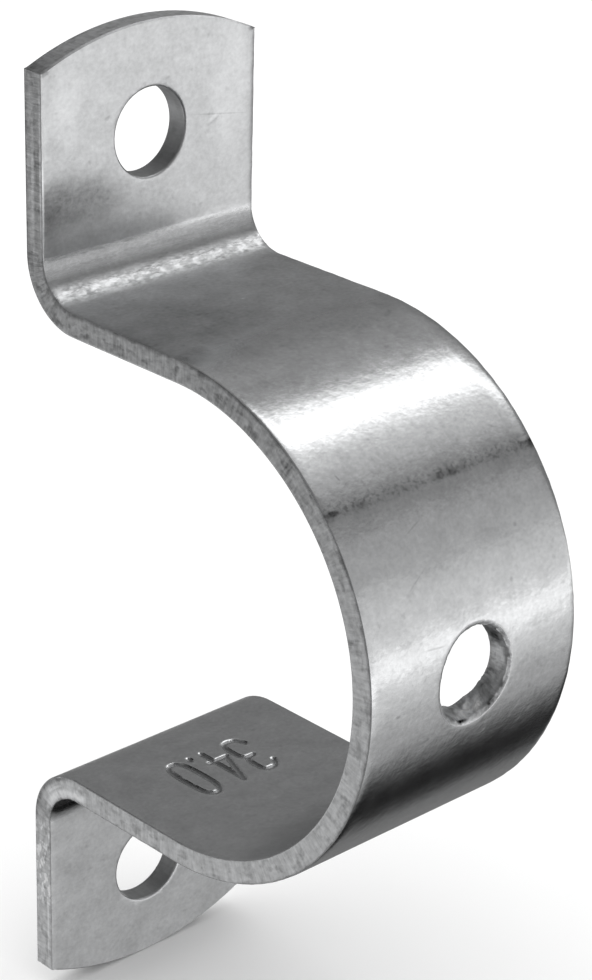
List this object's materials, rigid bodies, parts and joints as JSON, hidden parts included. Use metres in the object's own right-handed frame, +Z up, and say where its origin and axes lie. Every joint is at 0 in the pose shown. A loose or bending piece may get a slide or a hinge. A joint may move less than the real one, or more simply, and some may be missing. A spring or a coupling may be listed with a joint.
{
  "type": "pipe band clamp",
  "caption": "Saddle clamp folded from zinc-plated steel strip: a round seat that holds a pipe, a screw hole through its crown, and a flange with a curved end and a screw hole on each side.",
  "frame": {"origin": "centre of the pipe seat: on the pipe's axis, halfway across the strip", "axes": "+X along the pipe and across the strip, +Y towards the wall that the flanges are screwed to (the crown is at -Y), +Z up along the flanges; the part is drawn as it is fixed to an upright wall, with the pipe level"},
  "size_m": [0.019, 0.0342, 0.0732],
  "materials": {
    "zinc_plated_steel": "bright zinc plating on cold-rolled mild steel strip"
  },
  "bodies": {
    "root": {"band": "zinc_plated_steel"}
  },
  "joints": []
}
